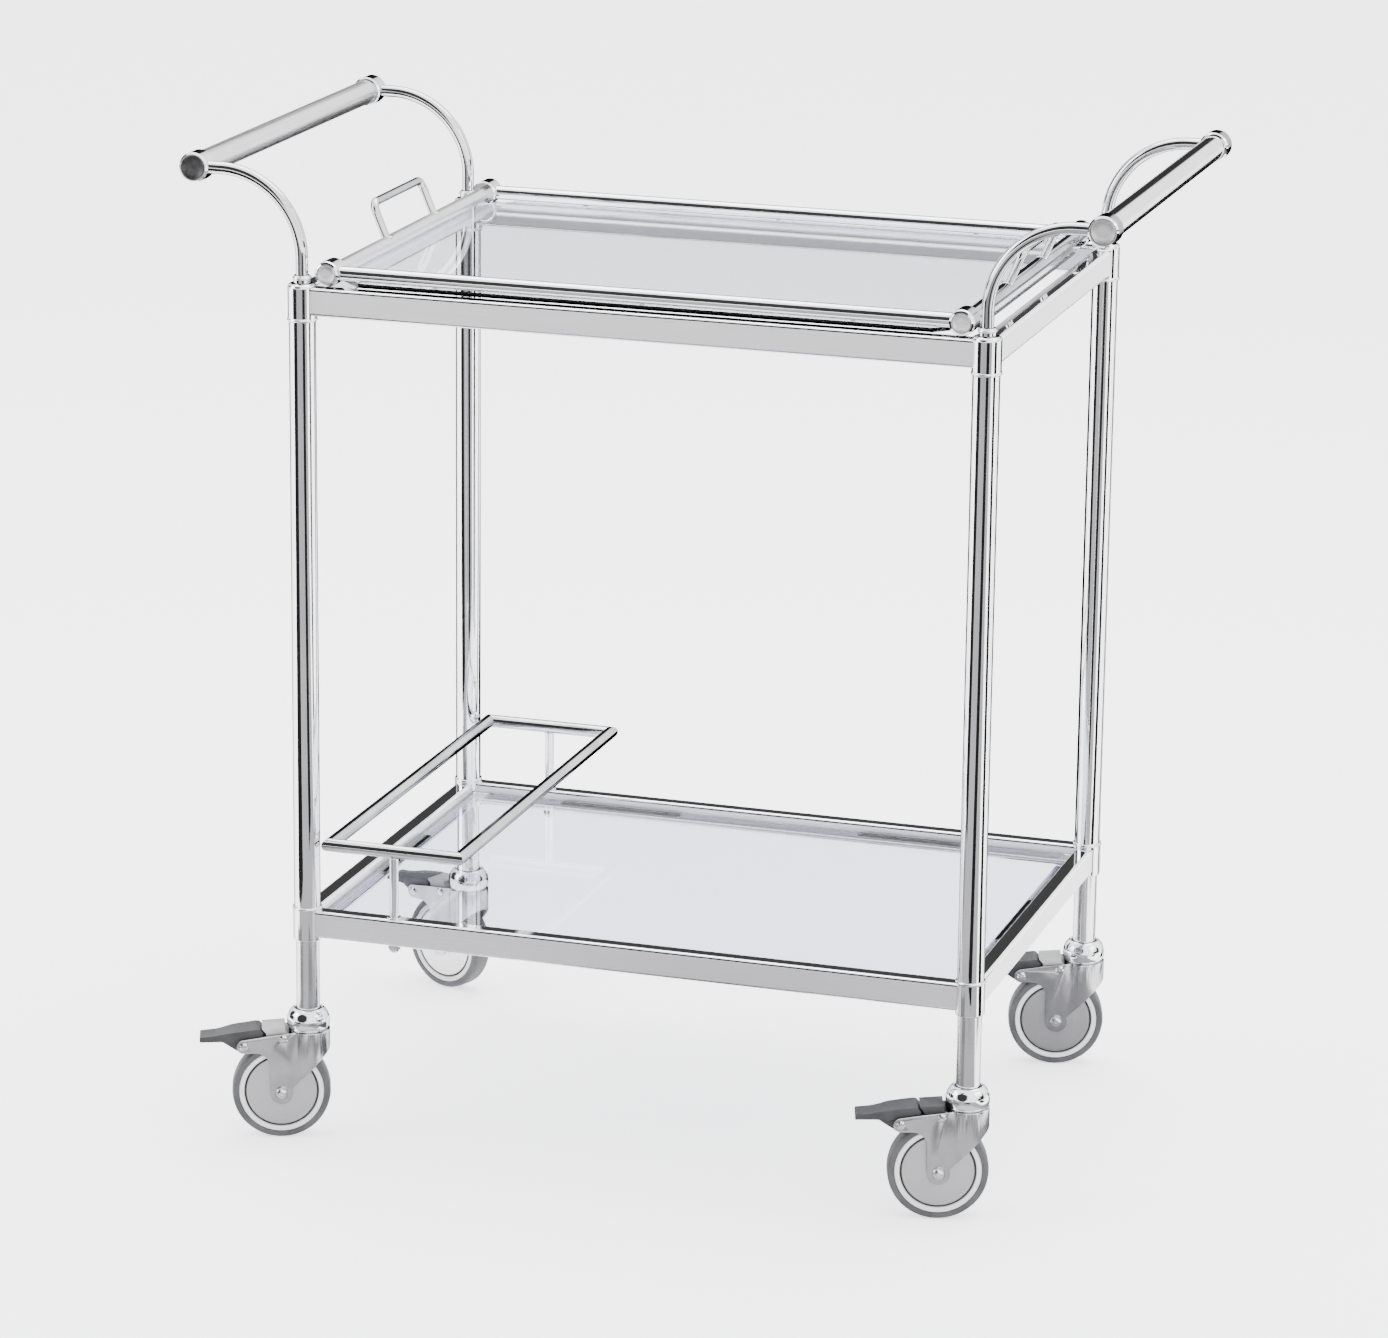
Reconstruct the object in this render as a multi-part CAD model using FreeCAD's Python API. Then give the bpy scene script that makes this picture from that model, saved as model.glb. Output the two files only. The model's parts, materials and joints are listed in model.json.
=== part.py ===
"""Serving trolley: four tubular posts on swivel casters, a lift-off glass tray, a lower glass
shelf with a bottle guard, and a push handle at each end.

Millimetres.  Z is up and the floor is Z = 0.  The origin is on the floor, midway between the four
posts.  X runs from the left push handle to the right one, Y from the front to the back.
"""

import FreeCAD
import Part
import math
import os

from FreeCAD import Vector

# ---- driving dimensions ------------------------------------------------------------------

POST_X = 311.0              # half the spacing of the posts along the trolley
POST_Y = 213.0              # half the spacing of the posts across it
CORNERS = {
    "front_left": (-POST_X, -POST_Y),
    "front_right": (POST_X, -POST_Y),
    "back_left": (-POST_X, POST_Y),
    "back_right": (POST_X, POST_Y),
}
ENDS = {"left": -1.0, "right": 1.0}
SIDES = {"front": -1.0, "back": 1.0}

LOWER_RAIL_TOP = 217.0
UPPER_RAIL_TOP = 792.0
RAIL_HEIGHT = 25.0
RAIL_WIDTH = 16.0
RAIL_WALL = 1.5
RAIL_EDGE = 3.0             # radius of a rail's long edges

POST_R = 12.0
POST_WALL = 1.2
POST_FOOT = LOWER_RAIL_TOP - 5.0    # where a post stands inside its lower sleeve
POST_HEAD = UPPER_RAIL_TOP - 3.0    # where a post ends inside its top collar
LEG_R = 10.7
LEG_WALL = 1.5
LEG_BOTTOM = 117.0
LEG_TOP = 262.0             # a leg tube runs on up inside its post
COLLAR_R = 12.9             # die-cast collars and sleeves that join rails to posts
BEAD_R = 1.7                # bead ring at the mouth of each collar and sleeve
SLEEVE_HEIGHT = 28.5
FIT = 0.05                  # radial clearance of tubes and pins in their seats

ARM_R = 5.5
ARM_WALL = 1.2
ARM_BEND = 75.0
ARM_BEND_START = 817.0      # height at which an arm leaves the vertical
GRIP_X = 410.0
GRIP_Z = ARM_BEND_START + ARM_BEND
GRIP_R = 11.25
GRIP_WALL = 1.5
GRIP_HALF = 216.0
GRIP_CAP_R = 13.5
GRIP_CAP_END = 221.0
GRIP_CAP_LENGTH = 19.0
CAP_RECESS = 1.2            # wall of a grip cap set in from its rim

SHELF_GLASS = 5.0
SHELF_EDGE_GAP = 1.0        # glass to the inner face of the rails
LEDGE_TOP = 202.0
LEDGE_THICK = 2.0
LEDGE_WIDTH = 12.0
LEDGE_STOP = 22.0           # ledges stop this far short of the post axes
PAD_THICK = 1.5

GUARD_X = -227.0            # middle of the bottle guard
GUARD_HALF_X = 62.0
GUARD_Z = 279.5
GUARD_R = 6.0
GUARD_WALL = 1.0
STANCHION_R = 4.0
NUT_R = 5.8                 # guard nut over its corners
NUT_HEIGHT = 4.0
NUT_DOME_R = 5.0

TRAY_GAP = 0.3              # tray above the rails that it rests on
TRAY_X = 288.0
TRAY_TUBE_Y = 203.5
TRAY_END_Y = 214.0
TRAY_TUBE_R = 6.5
TRAY_WALL = 1.2
TRAY_SLEEVE_R = 11.5
TRAY_SLEEVE_LENGTH = 22.0
SLEEVE_RECESS = 0.8         # disc of a tray sleeve set in from its rim
SLEEVE_WALL = 6.0           # closed end of a tray sleeve, beyond the tube in its bore
TRAY_GLASS = 4.0
TRAY_GLASS_X = 294.0
TRAY_GLASS_Y = 206.0
TRAY_CORNER_CUT = 33.0
TRAY_Z = UPPER_RAIL_TOP + TRAY_GAP + TRAY_SLEEVE_R
TRAY_HANDLE_R = 3.75
TRAY_HANDLE_HALF = 61.0
TRAY_HANDLE_RISE = 29.0
TRAY_HANDLE_LEAN = 12.0
TRAY_HANDLE_BEND = 9.0

WHEEL_R = 45.0
AXLE_Z = WHEEL_R
TRAIL = 25.0                # axle behind the swivel axis, towards -X
TYRE_SEAT_R = 38.6
TYRE_HALF = 10.5
HUB_HALF = 12.8
FORK_IN = 14.0              # half the width inside the fork
FORK_OUT = 16.5
FORK_TOP = 102.5
FORK_ROOF = 2.5
AXLE_R = 4.0
RIVET_R = 3.0
KINGPIN_R = 5.0
PIN_HEAD_R = 8.0            # riveted head of the kingpin under the fork's roof
PLUG_R = 11.5               # shoulder of the caster plug over the fork's roof
SWIVEL_GAP = 0.3            # each side of the fork's roof
PIVOT = (-59.0, 90.0)       # brake pedal pivot: x from the swivel axis, height
BLOCK_RIVET = (-23.0, 97.0)
PEDAL_TRAVEL = 13.0         # degrees from free to braked
NOSE_R = 19.7               # fork's nose about the swivel axis, flush with the domed cover
CASTER_TURN = {             # degrees each caster stands turned about its swivel axis
    "front_left": 22.0, "front_right": 18.0, "back_left": -22.0, "back_right": 16.0,
}


# ---- small tools ---------------------------------------------------------------------------

def rod(start, end, radius):
    """Solid cylinder between two points."""
    along = end - start
    return Part.makeCylinder(radius, along.Length, start, along)


def pipe(start, end, radius, wall):
    """Hollow cylinder between two points, open at both ends."""
    return rod(start, end, radius).cut(rod(start, end, radius - wall))


def upright(x, y, low, high, radius):
    """Vertical solid cylinder."""
    return Part.makeCylinder(radius, high - low, Vector(x, y, low))


def block(low, high):
    """Box between its lowest and highest corners."""
    size = high - low
    return Part.makeBox(size.x, size.y, size.z, low)


def turned(points, centre, axis):
    """Solid turned about an axis through centre; points are (radius, distance along the axis)."""
    outline = Part.makePolygon([Vector(r, 0, h) for r, h in points + points[:1]])
    solid = Part.Face(outline).revolve(Vector(0, 0, 0), Vector(0, 0, 1), 360)
    solid.Placement = FreeCAD.Placement(centre, FreeCAD.Rotation(Vector(0, 0, 1), axis))
    return solid


def soften(solid, radius, chosen):
    """Round the edges that the test picks."""
    return solid.makeFillet(radius, [edge for edge in solid.Edges if chosen(edge)])


def circle_at(radius, axis_name, place):
    """Test for a circular edge of this radius at this place along an axis."""
    def chosen(edge):
        curve = edge.Curve
        if not isinstance(curve, Part.Circle):
            return False
        return abs(curve.Radius - radius) < 0.01 and abs(getattr(curve.Center, axis_name) - place) < 0.01
    return chosen


def swept(path_edges, start, direction, radius):
    """Round bar along a path that begins at start in the given direction."""
    path = Part.Wire(path_edges)
    section = Part.Wire(Part.makeCircle(radius, start, direction))
    return path.makePipeShell([section], True, False)


def side_outline(points, half_width):
    """Plate outline in X and Z, extruded to both sides of Y = 0."""
    outline = Part.makePolygon([Vector(x, -half_width, z) for x, z in points + points[:1]])
    return Part.Face(outline).extrude(Vector(0, 2.0 * half_width, 0))


def save(shape, node):
    """Write one node's solids."""
    shape.exportStep("parts/" + node + ".step")


# ---- posts, legs and the castings that join them ----------------------------------------------

def post(x, y):
    """Main tube, from inside the lower sleeve to inside the top collar."""
    low = Vector(x, y, POST_FOOT)
    high = Vector(x, y, POST_HEAD)
    return pipe(low, high, POST_R, POST_WALL)


def leg_tube(x, y):
    """Thinner tube below the shelf, carried up inside the post."""
    return pipe(Vector(x, y, LEG_BOTTOM), Vector(x, y, LEG_TOP), LEG_R, LEG_WALL)


def caster_plug(x, y):
    """Plug in the leg with the kingpin that the fork turns on, and its riveted lower head."""
    head_top = FORK_TOP - FORK_ROOF - SWIVEL_GAP
    head_low = head_top - 4.2
    shoulder = FORK_TOP + SWIVEL_GAP
    inside_leg = LEG_R - LEG_WALL
    plug_top = LEG_BOTTOM + 34.0
    return turned(
        [(0, head_low), (PIN_HEAD_R, head_low), (PIN_HEAD_R, head_top), (KINGPIN_R, head_top),
         (KINGPIN_R, shoulder), (PLUG_R, shoulder), (PLUG_R, LEG_BOTTOM), (inside_leg, LEG_BOTTOM),
         (inside_leg, plug_top), (0, plug_top)],
        Vector(x, y, 0), Vector(0, 0, 1))


def lower_sleeve(x, y):
    """Cup casting that holds the leg below and the post above, with a bead round its mouth."""
    bottom = LOWER_RAIL_TOP - SLEEVE_HEIGHT
    mouth = LOWER_RAIL_TOP + 2.0
    body = upright(x, y, bottom, mouth, COLLAR_R)
    body = soften(body, 1.2, circle_at(COLLAR_R, "z", bottom))
    bead = Part.makeTorus(COLLAR_R - 1.0, BEAD_R, Vector(x, y, mouth - 0.3))
    leg_bore = upright(x, y, bottom - 1.0, mouth + 5.0, LEG_R + FIT)
    post_bore = upright(x, y, POST_FOOT, mouth + 5.0, POST_R + FIT)
    return body.fuse(bead).cut(leg_bore).cut(post_bore)


def top_collar(x, y):
    """Cap casting on the post: bead at the mouth, round shoulder and a ferrule for the arm."""
    mouth = UPPER_RAIL_TOP - RAIL_HEIGHT - 5.0
    shoulder = UPPER_RAIL_TOP + 3.0
    ferrule_top = shoulder + 7.0
    body = upright(x, y, mouth, shoulder, COLLAR_R)
    body = soften(body, 3.4, circle_at(COLLAR_R, "z", shoulder))
    ferrule = upright(x, y, shoulder - 1.0, ferrule_top, 7.6)
    ferrule = soften(ferrule, 0.9, circle_at(7.6, "z", ferrule_top))
    ring = Part.makeTorus(7.2, 1.4, Vector(x, y, ferrule_top - 2.4))
    bead = Part.makeTorus(COLLAR_R - 1.0, BEAD_R, Vector(x, y, mouth + 0.8))
    post_bore = upright(x, y, mouth - 5.0, POST_HEAD, POST_R + FIT)
    arm_bore = upright(x, y, mouth, ferrule_top + 1.0, ARM_R + FIT)
    return body.fuse([ferrule, ring, bead]).cut(post_bore).cut(arm_bore)


# ---- rails ---------------------------------------------------------------------------------

def rail_bar(along, length, inset):
    """Round-edged bar centred on the origin's XY, its top at Z = 0; inset shrinks its section."""
    height = RAIL_HEIGHT - 2.0 * inset
    width = RAIL_WIDTH - 2.0 * inset
    edge = RAIL_EDGE - inset
    bar = Part.makeBox(length, width, height, Vector(-length / 2.0, -width / 2.0, -RAIL_HEIGHT + inset))
    long_edges = [e for e in bar.Edges if abs(e.Length - length) < 0.01]
    bar = bar.makeFillet(edge, long_edges)
    if along == "y":
        bar.rotate(Vector(0, 0, 0), Vector(0, 0, 1), 90)
    return bar


def rail(along, x, y, top):
    """Rectangular tube between two posts, coped to fit against their collars."""
    length = 2.0 * (POST_X if along == "x" else POST_Y)
    tube = rail_bar(along, length, 0.0).cut(rail_bar(along, length, RAIL_WALL))
    tube.translate(Vector(x, y, top))
    for post_x, post_y in CORNERS.values():
        tube = tube.cut(upright(post_x, post_y, top - 60.0, top + 60.0, COLLAR_R))
    return tube


def ledge(along, x, y):
    """Flat strip welded along the inside of a lower rail to carry the glass."""
    low = LEDGE_TOP - LEDGE_THICK
    if along == "x":
        inner = math.copysign(POST_Y - RAIL_WIDTH / 2.0, y)
        lip = inner - math.copysign(LEDGE_WIDTH, y)
        ends = POST_X - LEDGE_STOP
        return block(Vector(-ends, min(inner, lip), low), Vector(ends, max(inner, lip), LEDGE_TOP))
    inner = math.copysign(POST_X - RAIL_WIDTH / 2.0, x)
    lip = inner - math.copysign(LEDGE_WIDTH, x)
    ends = POST_Y - LEDGE_STOP
    return block(Vector(min(inner, lip), -ends, low), Vector(max(inner, lip), ends, LEDGE_TOP))


def lower_rail(along, x, y):
    """Lower rail with its glass ledge, drilled for a guard stanchion where one stands on it."""
    bar = rail(along, x, y, LOWER_RAIL_TOP).fuse(ledge(along, x, y))
    return bar.cut(upright(GUARD_X, y, 150.0, 240.0, STANCHION_R + FIT)) if along == "x" else bar


# ---- lower shelf ---------------------------------------------------------------------------

def shelf_glass():
    """Glass plate lying on the ledges, its corners cut round the sleeves."""
    half_x = POST_X - RAIL_WIDTH / 2.0 - SHELF_EDGE_GAP
    half_y = POST_Y - RAIL_WIDTH / 2.0 - SHELF_EDGE_GAP
    low = LEDGE_TOP + PAD_THICK
    plate = block(Vector(-half_x, -half_y, low), Vector(half_x, half_y, low + SHELF_GLASS))
    for x, y in CORNERS.values():
        plate = plate.cut(upright(x, y, low - 1.0, low + SHELF_GLASS + 1.0, COLLAR_R + 1.5))
    sharp = [e for e in plate.Edges if isinstance(e.Curve, Part.Line) and e.Length > 100.0]
    return plate.makeChamfer(0.6, sharp)


def shelf_pads():
    """Rubber strips between the ledges and the glass: two on each long ledge, one on each short."""
    pads = []
    mid = POST_Y - RAIL_WIDTH / 2.0 - LEDGE_WIDTH / 2.0
    for side in SIDES.values():
        for x in (-150.0, 150.0):
            low = Vector(x - 60.0, side * mid - 4.0, LEDGE_TOP)
            pads.append(block(low, low + Vector(120.0, 8.0, PAD_THICK)))
    mid = POST_X - RAIL_WIDTH / 2.0 - LEDGE_WIDTH / 2.0
    for end in ENDS.values():
        low = Vector(end * mid - 4.0, -60.0, LEDGE_TOP)
        pads.append(block(low, low + Vector(8.0, 120.0, PAD_THICK)))
    return Part.makeCompound(pads)


# ---- bottle guard --------------------------------------------------------------------------

def guard_side(corner_a, corner_b, inward, radius):
    """One side of the guard between two corners, its ends mitred at 45 degrees."""
    reach = GUARD_R + 1.0
    along = (corner_b - corner_a).normalize()
    bar = rod(corner_a - along * reach, corner_b + along * reach, radius)
    outline = [
        corner_a - along * reach - inward * reach, corner_b + along * reach - inward * reach,
        corner_b - along * reach + inward * reach, corner_a + along * reach + inward * reach,
    ]
    drop = Vector(0, 0, -reach)
    region = Part.Face(Part.makePolygon([p + drop for p in outline + outline[:1]]))
    return bar.common(region.extrude(Vector(0, 0, 2.0 * reach)))


def guard_loop(radius):
    """The four mitred sides welded into one rectangle."""
    corners = [
        Vector(GUARD_X - GUARD_HALF_X, -POST_Y, GUARD_Z), Vector(GUARD_X + GUARD_HALF_X, -POST_Y, GUARD_Z),
        Vector(GUARD_X + GUARD_HALF_X, POST_Y, GUARD_Z), Vector(GUARD_X - GUARD_HALF_X, POST_Y, GUARD_Z),
    ]
    inward = [Vector(0, 1, 0), Vector(-1, 0, 0), Vector(0, -1, 0), Vector(1, 0, 0)]
    sides = [guard_side(corners[i], corners[(i + 1) % 4], inward[i], radius) for i in range(4)]
    return sides[0].fuse(sides[1:]).removeSplitter()


def bottle_guard():
    """Rectangular guard rail of thin tube that keeps bottles upright."""
    return guard_loop(GUARD_R).cut(guard_loop(GUARD_R - GUARD_WALL))


def guard_stanchion(y):
    """Rod from below the rail up to the underside of the guard."""
    bar = upright(GUARD_X, y, LOWER_RAIL_TOP - RAIL_HEIGHT - 5.0, GUARD_Z, STANCHION_R)
    saddle = rod(Vector(GUARD_X - 20, y, GUARD_Z), Vector(GUARD_X + 20, y, GUARD_Z), GUARD_R)
    return bar.cut(saddle)


def guard_nut(y):
    """Domed hexagon nut that clamps a stanchion under its rail."""
    top = LOWER_RAIL_TOP - RAIL_HEIGHT
    base = top - NUT_HEIGHT
    corners = []
    for turn in range(0, 361, 60):
        angle = math.radians(turn)
        corners.append(Vector(GUARD_X + NUT_R * math.cos(angle), y + NUT_R * math.sin(angle), base))
    hexagon = Part.Face(Part.makePolygon(corners)).extrude(Vector(0, 0, NUT_HEIGHT))
    dome = Part.makeSphere(NUT_DOME_R, Vector(GUARD_X, y, base + 1.0))
    dome = dome.common(upright(GUARD_X, y, base - NUT_DOME_R, base, NUT_R))
    return hexagon.fuse(dome).cut(upright(GUARD_X, y, base - 1.0, top + 1.0, STANCHION_R))


# ---- push handles --------------------------------------------------------------------------

def handle_arm(x, y):
    """Thin tube that rises from the collar and bends outward into the grip's end cap."""
    end = math.copysign(1.0, x)
    foot = Vector(x, y, POST_HEAD)
    bend_start = Vector(x, y, ARM_BEND_START)
    diagonal = ARM_BEND * math.sqrt(0.5)
    middle = Vector(x + end * (ARM_BEND - diagonal), y, ARM_BEND_START + diagonal)
    bend_end = Vector(x + end * ARM_BEND, y, GRIP_Z)
    tip = Vector(end * GRIP_X, y, GRIP_Z)
    path = [
        Part.makeLine(foot, bend_start),
        Part.Arc(bend_start, middle, bend_end).toShape(),
        Part.makeLine(bend_end, tip),
    ]
    up = Vector(0, 0, 1)
    tube = swept(path, foot, up, ARM_R).cut(swept(path, foot, up, ARM_R - ARM_WALL))
    cap = rod(Vector(end * GRIP_X, y - 20.0, GRIP_Z), Vector(end * GRIP_X, y + 20.0, GRIP_Z), GRIP_CAP_R)
    return tube.cut(cap)


def grip(end):
    """Horizontal grip tube across the trolley's end."""
    return pipe(Vector(end * GRIP_X, -GRIP_HALF, GRIP_Z), Vector(end * GRIP_X, GRIP_HALF, GRIP_Z),
                GRIP_R, GRIP_WALL)


def grip_cap(end, side):
    """End casting of a grip: a short sleeve over the tube, closed by a wall set in from its rim."""
    inner = GRIP_CAP_END - GRIP_CAP_LENGTH
    bore = GRIP_R + FIT
    face = GRIP_CAP_END - CAP_RECESS
    tube_stop = GRIP_HALF + 0.5
    return turned(
        [(bore, inner), (GRIP_CAP_R - 1.2, inner), (GRIP_CAP_R, inner + 1.2),
         (GRIP_CAP_R, GRIP_CAP_END - 1.5), (GRIP_CAP_R - 1.5, GRIP_CAP_END), (GRIP_R - 0.2, GRIP_CAP_END),
         (GRIP_R - 0.6, face), (0, face), (0, tube_stop), (bore, tube_stop)],
        Vector(end * GRIP_X, 0, GRIP_Z), Vector(0, side, 0))


# ---- lift-off tray -------------------------------------------------------------------------

def tray_glass():
    """Glass base under the tray's tubes, its corners cut off to clear the corner sleeves."""
    low = UPPER_RAIL_TOP + TRAY_GAP
    x = TRAY_GLASS_X
    y = TRAY_GLASS_Y
    cut = TRAY_CORNER_CUT
    outline = [(-x + cut, -y), (x - cut, -y), (x, -y + cut), (x, y - cut),
               (x - cut, y), (-x + cut, y), (-x, y - cut), (-x, -y + cut)]
    points = [Vector(px, py, low) for px, py in outline + outline[:1]]
    plate = Part.Face(Part.makePolygon(points)).extrude(Vector(0, 0, TRAY_GLASS))
    return plate.makeChamfer(0.5, [e for e in plate.Edges if e.Length > 10.0])


def tray_sleeve_solid(x, side):
    """Outer shape of a corner sleeve."""
    inner = Vector(x, side * (TRAY_END_Y - TRAY_SLEEVE_LENGTH), TRAY_Z)
    return rod(inner, Vector(x, side * TRAY_END_Y, TRAY_Z), TRAY_SLEEVE_R)


def tray_sleeve(end, side):
    """Corner sleeve: takes the end tube in its bore, closed outside by a flat disc in a rim."""
    inner = TRAY_END_Y - TRAY_SLEEVE_LENGTH
    bore = TRAY_TUBE_R + FIT
    face = TRAY_END_Y - SLEEVE_RECESS
    tube_stop = TRAY_END_Y - SLEEVE_WALL
    return turned(
        [(bore, inner), (TRAY_SLEEVE_R - 1.0, inner), (TRAY_SLEEVE_R, inner + 1.0),
         (TRAY_SLEEVE_R, TRAY_END_Y - 2.4), (TRAY_SLEEVE_R - 0.7, TRAY_END_Y - 0.7),
         (TRAY_SLEEVE_R - 2.4, TRAY_END_Y), (TRAY_SLEEVE_R - 3.0, TRAY_END_Y), (TRAY_SLEEVE_R - 3.4, face),
         (0, face), (0, tube_stop), (bore, tube_stop)],
        Vector(end * TRAY_X, 0, TRAY_Z), Vector(0, side, 0))


def tray_end_tube(end):
    """Tube across the end of the tray, inserted in two corner sleeves."""
    x = end * TRAY_X
    half = TRAY_END_Y - SLEEVE_WALL
    return pipe(Vector(x, -half, TRAY_Z), Vector(x, half, TRAY_Z), TRAY_TUBE_R, TRAY_WALL)


def tray_long_tube(side):
    """Tube along the front or back of the tray, butted against two corner sleeves."""
    y = side * TRAY_TUBE_Y
    tube = pipe(Vector(-TRAY_X, y, TRAY_Z), Vector(TRAY_X, y, TRAY_Z), TRAY_TUBE_R, TRAY_WALL)
    for end in ENDS.values():
        tube = tube.cut(tray_sleeve_solid(end * TRAY_X, side))
    return tube


def tray_handle(end):
    """Bent rod welded on an end tube, leaning outward."""
    base_z = TRAY_Z
    lean = Vector(end * TRAY_HANDLE_LEAN, 0, TRAY_HANDLE_RISE).normalize()
    top_z = TRAY_Z + TRAY_TUBE_R + TRAY_HANDLE_RISE
    reach = (top_z - base_z) / lean.z
    foot = Vector(end * TRAY_X, 0, base_z)
    bend = TRAY_HANDLE_BEND
    slack = bend * (1.0 - math.sqrt(0.5))
    path = []
    for side in (-1.0, 1.0):
        across = Vector(0, side, 0)
        low = foot + across * TRAY_HANDLE_HALF
        leg_top = low + lean * (reach - bend)
        arc_mid = low + lean * (reach - slack) - across * slack
        arc_end = low + lean * reach - across * bend
        path.append([low, leg_top, arc_mid, arc_end])
    front, back = path
    edges = [
        Part.makeLine(front[0], front[1]),
        Part.Arc(front[1], front[2], front[3]).toShape(),
        Part.makeLine(front[3], back[3]),
        Part.Arc(back[3], back[2], back[1]).toShape(),
        Part.makeLine(back[1], back[0]),
    ]
    bar = swept(edges, front[0], lean, TRAY_HANDLE_R)
    tube = rod(Vector(end * TRAY_X, -100, TRAY_Z), Vector(end * TRAY_X, 100, TRAY_Z), TRAY_TUBE_R)
    return bar.cut(tube)


# ---- casters, in swivel-axis coordinates ---------------------------------------------------

def fork_outline():
    """Side outline of the fork: axle boss, plate, brake arm and the slanting nose."""
    axle = Vector(-TRAIL, 0, AXLE_Z)
    pivot = Vector(PIVOT[0], 0, PIVOT[1])
    boss = 10.5
    tip = 6.5
    bottom = Vector(-TRAIL, 0, AXLE_Z - boss)
    heel = Vector(-TRAIL - boss, 0, AXLE_Z)
    throat_low = Vector(-TRAIL - boss, 0, 73.0)
    throat_mid = Vector(-TRAIL - boss - 4.6, 0, 80.6)
    throat_high = Vector(-TRAIL - boss - 13.0, 0, pivot.z - tip)
    tip_low = pivot - Vector(0, 0, tip)
    tip_side = pivot - Vector(tip, 0, 0)
    tip_high = pivot + Vector(-1.0, 0, math.sqrt(tip * tip - 1.0))
    arm_high = Vector(-36.0, 0, 100.0)
    crown = Vector(-14.0, 0, FORK_TOP)
    roof_end = Vector(NOSE_R + 1.0, 0, FORK_TOP)
    nose = Vector(NOSE_R + 1.0, 0, 86.0)
    nose_low = Vector(-7.0, 0, 58.0)
    knee = axle + Vector(boss * 0.94, 0, boss * 0.34)
    under = axle + Vector(boss * 0.70, 0, -boss * 0.714)
    edges = [
        Part.Arc(bottom, axle + Vector(-boss * 0.707, 0, -boss * 0.707), heel).toShape(),
        Part.makeLine(heel, throat_low),
        Part.Arc(throat_low, throat_mid, throat_high).toShape(),
        Part.makeLine(throat_high, tip_low),
        Part.Arc(tip_low, tip_side, tip_high).toShape(),
        Part.makeLine(tip_high, arm_high),
        Part.makeLine(arm_high, crown),
        Part.makeLine(crown, roof_end),
        Part.makeLine(roof_end, nose),
        Part.makeLine(nose, nose_low),
        Part.makeLine(nose_low, knee),
        Part.Arc(knee, under, bottom).toShape(),
    ]
    face = Part.Face(Part.Wire(edges))
    face.translate(Vector(0, -30.0, 0))
    return face.extrude(Vector(0, 60.0, 0))


def fork_plan(half_width, nose_r, low, high):
    """Fork's plan: straight sides running back from a wider round nose about the swivel axis."""
    sides = block(Vector(-90.0, -half_width, low), Vector(0, half_width, high))
    return sides.fuse(upright(0, 0, low, high, nose_r))


def fork():
    """Pressed steel fork: side plates, half-round nose, roof and the domed bearing cover."""
    inner_r = NOSE_R - (FORK_OUT - FORK_IN)
    shell = fork_plan(FORK_OUT, NOSE_R, 20.0, FORK_TOP)
    shell = shell.cut(fork_plan(FORK_IN, inner_r, 10.0, FORK_TOP + 1.0))
    roof = fork_plan(FORK_OUT, NOSE_R, FORK_TOP - FORK_ROOF, FORK_TOP)
    roof = roof.common(block(Vector(-16.0, -30.0, 90.0), Vector(30.0, 30.0, 110.0)))
    body = shell.fuse(roof).common(fork_outline())
    cover = turned(
        [(16.0, FORK_TOP - 1.0), (18.2, FORK_TOP + 1.5), (19.4, 107.0), (19.7, 110.5), (19.2, 114.5),
         (17.6, 118.5), (15.2, 121.6), (13.2, 122.8), (12.2, 122.2), (12.2, 120.8), (14.6, 119.2),
         (16.6, 116.0), (17.7, 111.0), (17.2, 106.0), (15.0, FORK_TOP), (14.0, FORK_TOP - 1.0)],
        Vector(0, 0, 0), Vector(0, 0, 1))
    body = body.fuse(cover)
    body = body.cut(upright(0, 0, 90.0, 115.0, KINGPIN_R + FIT))
    body = body.cut(pin_y((-TRAIL, AXLE_Z), 30.0, AXLE_R))
    body = body.cut(pin_y(PIVOT, 30.0, RIVET_R))
    return body.cut(pin_y(BLOCK_RIVET, 30.0, RIVET_R))


def pin_y(place, half_length, radius):
    """Cylinder across the caster at an (x, z) place."""
    return rod(Vector(place[0], -half_length, place[1]), Vector(place[0], half_length, place[1]), radius)


def axle_pins():
    """Axle bolt with domed heads, the brake pivot rivet and the block rivet."""
    axle = turned(
        [(0, -20.5), (2.5, -20.3), (4.6, -19.4), (5.6, -17.8), (5.6, -FORK_OUT), (AXLE_R, -FORK_OUT),
         (AXLE_R, FORK_OUT), (5.6, FORK_OUT), (5.6, 17.8), (4.6, 19.4), (2.5, 20.3), (0, 20.5)],
        Vector(-TRAIL, 0, AXLE_Z), Vector(0, 1, 0))
    pins = [axle]
    for x, z in (PIVOT, BLOCK_RIVET):
        pins.append(turned(
            [(0, -18.3), (2.4, -18.0), (3.9, -16.9), (4.0, -FORK_OUT), (RIVET_R, -FORK_OUT),
             (RIVET_R, FORK_OUT), (4.0, FORK_OUT), (3.9, 16.9), (2.4, 18.0), (0, 18.3)],
            Vector(x, 0, z), Vector(0, 1, 0)))
    return Part.makeCompound(pins)


def wheel():
    """Wheel core: bored hub, flat disc covers with a ring groove, and a raised outer ring."""
    half = [(AXLE_R + FIT, HUB_HALF), (8.0, HUB_HALF), (9.0, 9.6), (32.0, 9.0), (32.6, 7.6), (33.8, 7.6),
            (34.4, 9.6), (TYRE_SEAT_R - 0.6, 10.0), (TYRE_SEAT_R, 9.4)]
    mirrored = [(r, -h) for r, h in reversed(half)]
    return turned(half + mirrored, Vector(-TRAIL, 0, AXLE_Z), Vector(0, 1, 0))


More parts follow.
